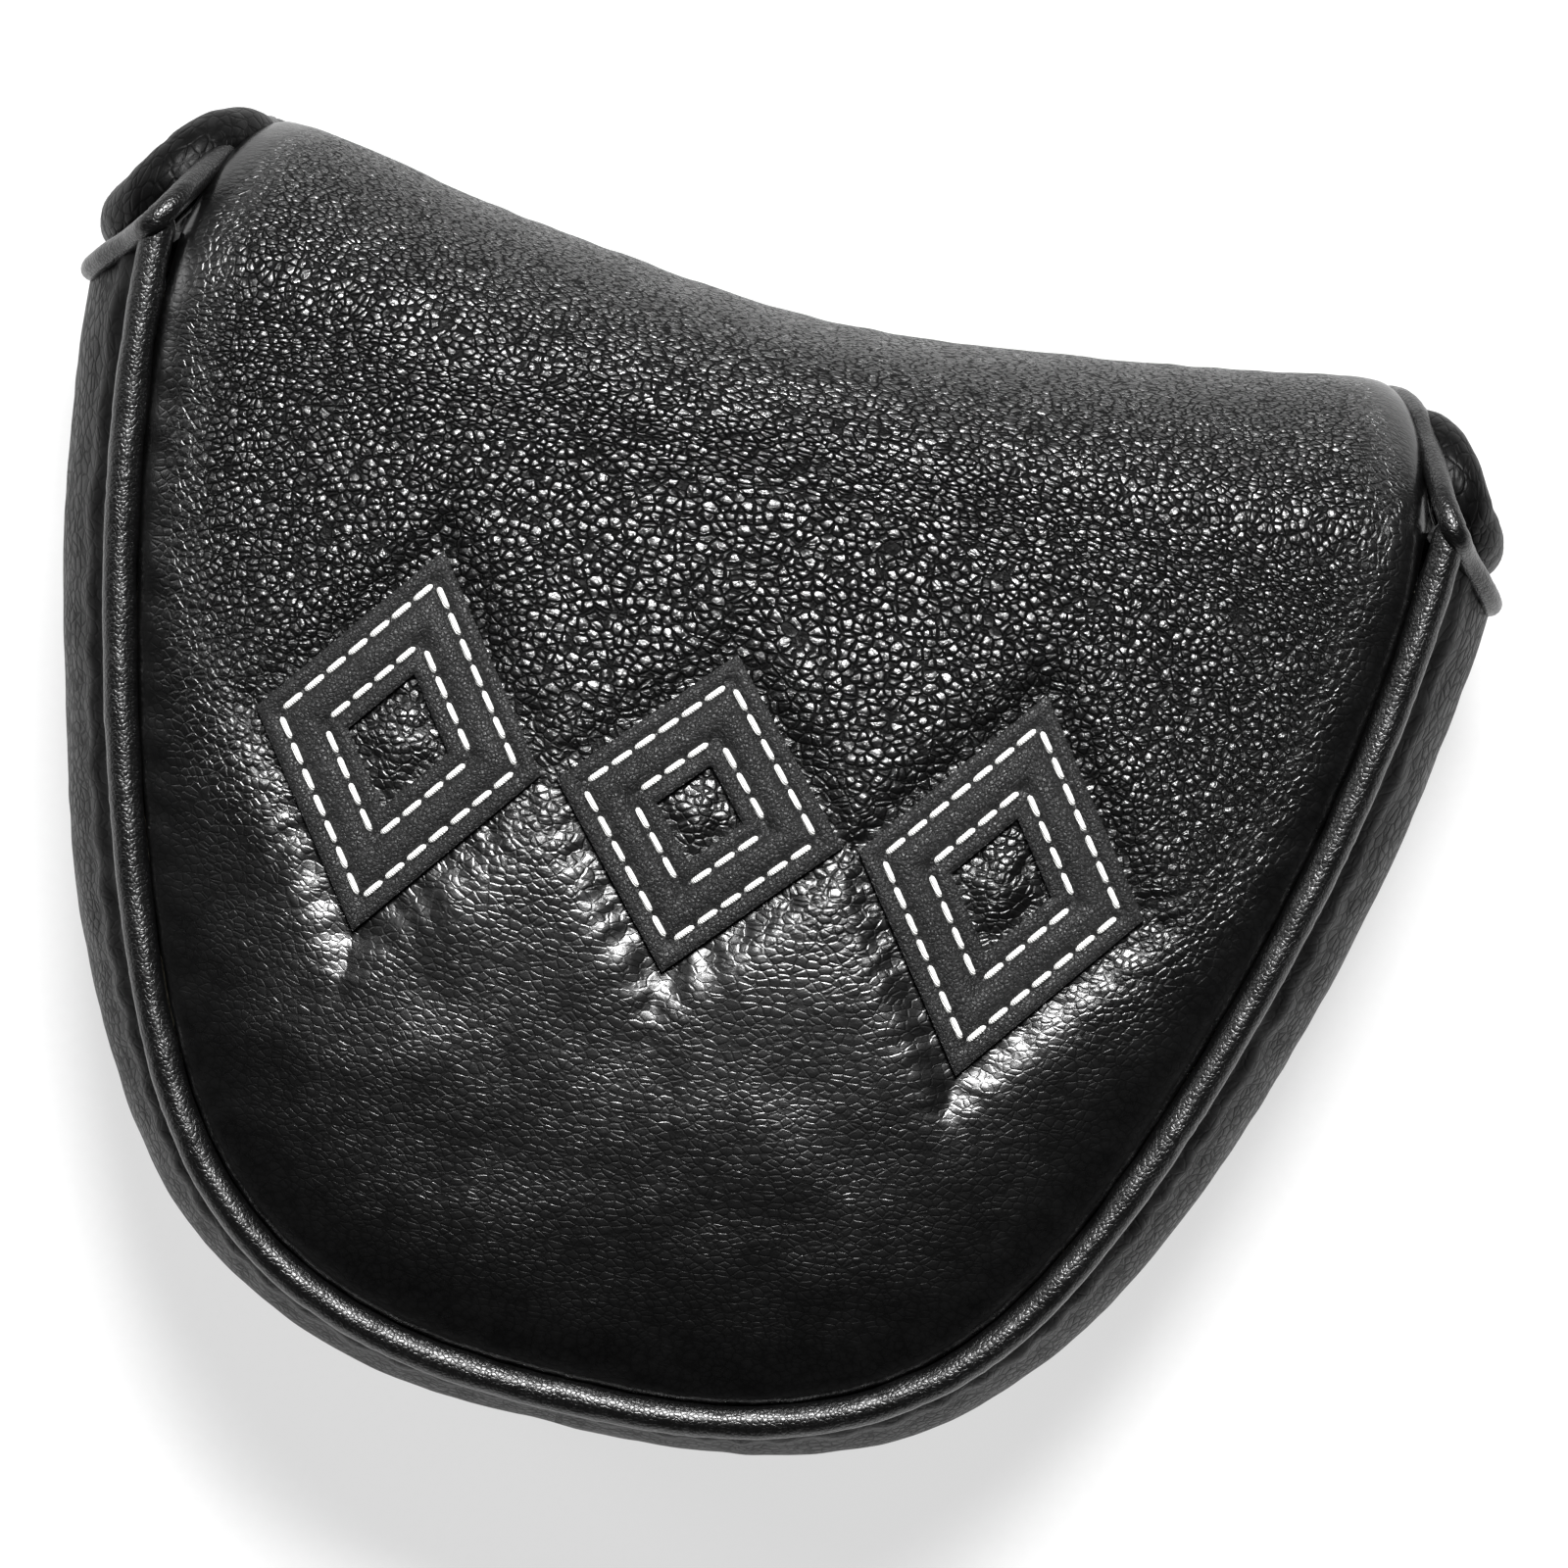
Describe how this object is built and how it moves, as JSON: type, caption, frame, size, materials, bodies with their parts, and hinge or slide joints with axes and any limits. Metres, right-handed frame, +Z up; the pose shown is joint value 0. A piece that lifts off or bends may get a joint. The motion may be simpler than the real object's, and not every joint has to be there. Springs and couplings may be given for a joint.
{
  "type": "putter head cover",
  "caption": "Padded leather mallet putter head cover with a crown, side wall and sole joined by piping, collared shaft openings, lozenge patches and a hinged magnetic closure flap.",
  "frame": {"origin": "centre of the underside of the bounding box, with the cover lying on its sole", "axes": "+Z up through the crown, +X from toe to heel, +Y towards the closure end"},
  "size_m": [0.1352, 0.1138, 0.0537],
  "materials": {
    "grain_leather": "glossy pebble grain",
    "smooth_leather": "satin",
    "patch_leather": "matte fine grain",
    "thread": "twisted thread",
    "padding": "foam",
    "lining": "short plush",
    "cord": "twisted cord",
    "elastic": "covered elastic",
    "magnet": "nickel plated"
  },
  "bodies": {
    "shell": {"crown_panel": "grain_leather", "crown_foam": "padding", "crown_lining": "lining", "gusset_panel": "grain_leather", "gusset_foam": "padding", "gusset_lining": "lining", "sole_panel": "grain_leather", "sole_foam": "padding", "sole_lining": "lining", "sole_edge_binding": "smooth_leather", "crown_piping": "smooth_leather", "crown_piping_cord": "cord", "sole_piping": "smooth_leather", "sole_piping_cord": "cord", "heel_collar": "smooth_leather", "heel_collar_elastic": "elastic", "heel_collar_piping": "smooth_leather", "toe_collar": "smooth_leather", "toe_collar_elastic": "elastic", "toe_collar_piping": "smooth_leather", "left_patch": "patch_leather", "left_patch_stitching": "thread", "centre_patch": "patch_leather", "centre_patch_stitching": "thread", "right_patch": "patch_leather", "right_patch_stitching": "thread", "sole_magnets": "magnet"},
    "flap": {"flap_panel": "grain_leather", "flap_foam": "padding", "flap_lining": "lining", "flap_binding": "smooth_leather", "flap_magnets": "magnet"}
  },
  "joints": [
    {"name": "flap_hinge", "type": "hinge", "parent": "shell", "child": "flap", "pos_m": [0, 0.044, 0.0491], "axis": [1, 0, 0], "range_deg": [0, 110]}
  ]
}
